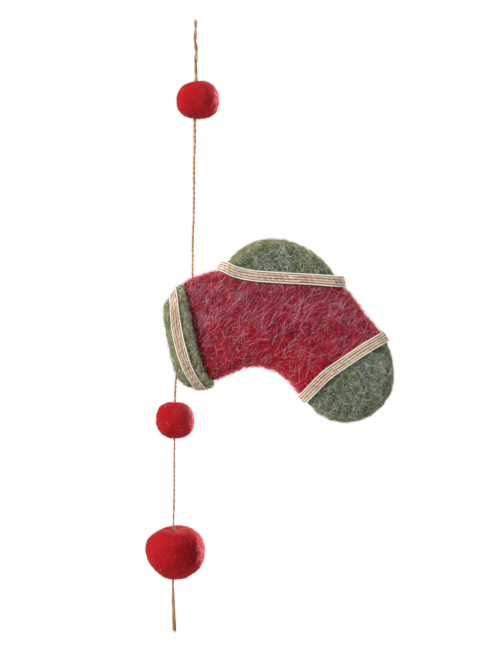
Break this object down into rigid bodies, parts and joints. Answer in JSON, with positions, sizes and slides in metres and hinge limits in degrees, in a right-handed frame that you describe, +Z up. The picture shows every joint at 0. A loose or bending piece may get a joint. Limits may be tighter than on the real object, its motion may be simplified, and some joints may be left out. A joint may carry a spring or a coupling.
{
  "type": "felt stocking garland",
  "caption": "Hanging garland of felted wool balls and a padded red and green felt stocking, bound with jute ribbon and threaded on jute twine.",
  "frame": {"origin": "centre of the twine's cut top end, from which the garland hangs", "axes": "+X to the right along the stocking's foot, +Z up along the twine, +Y towards the stocking's back"},
  "size_m": [0.1334, 0.0308, 0.3291],
  "materials": {
    "jute_twine": "matt",
    "ball_felt": "matt",
    "red_felt": "matt",
    "green_felt": "matt",
    "jute_ribbon": "matt"
  },
  "bodies": {
    "root": {"twine": "jute_twine", "ball_top": "ball_felt", "ball_middle": "ball_felt", "ball_bottom": "ball_felt", "stocking_body": "red_felt", "heel": "green_felt", "toe": "green_felt", "cuff": "green_felt", "heel_ribbon": "jute_ribbon", "toe_ribbon": "jute_ribbon", "cuff_ribbon": "jute_ribbon"}
  },
  "joints": []
}
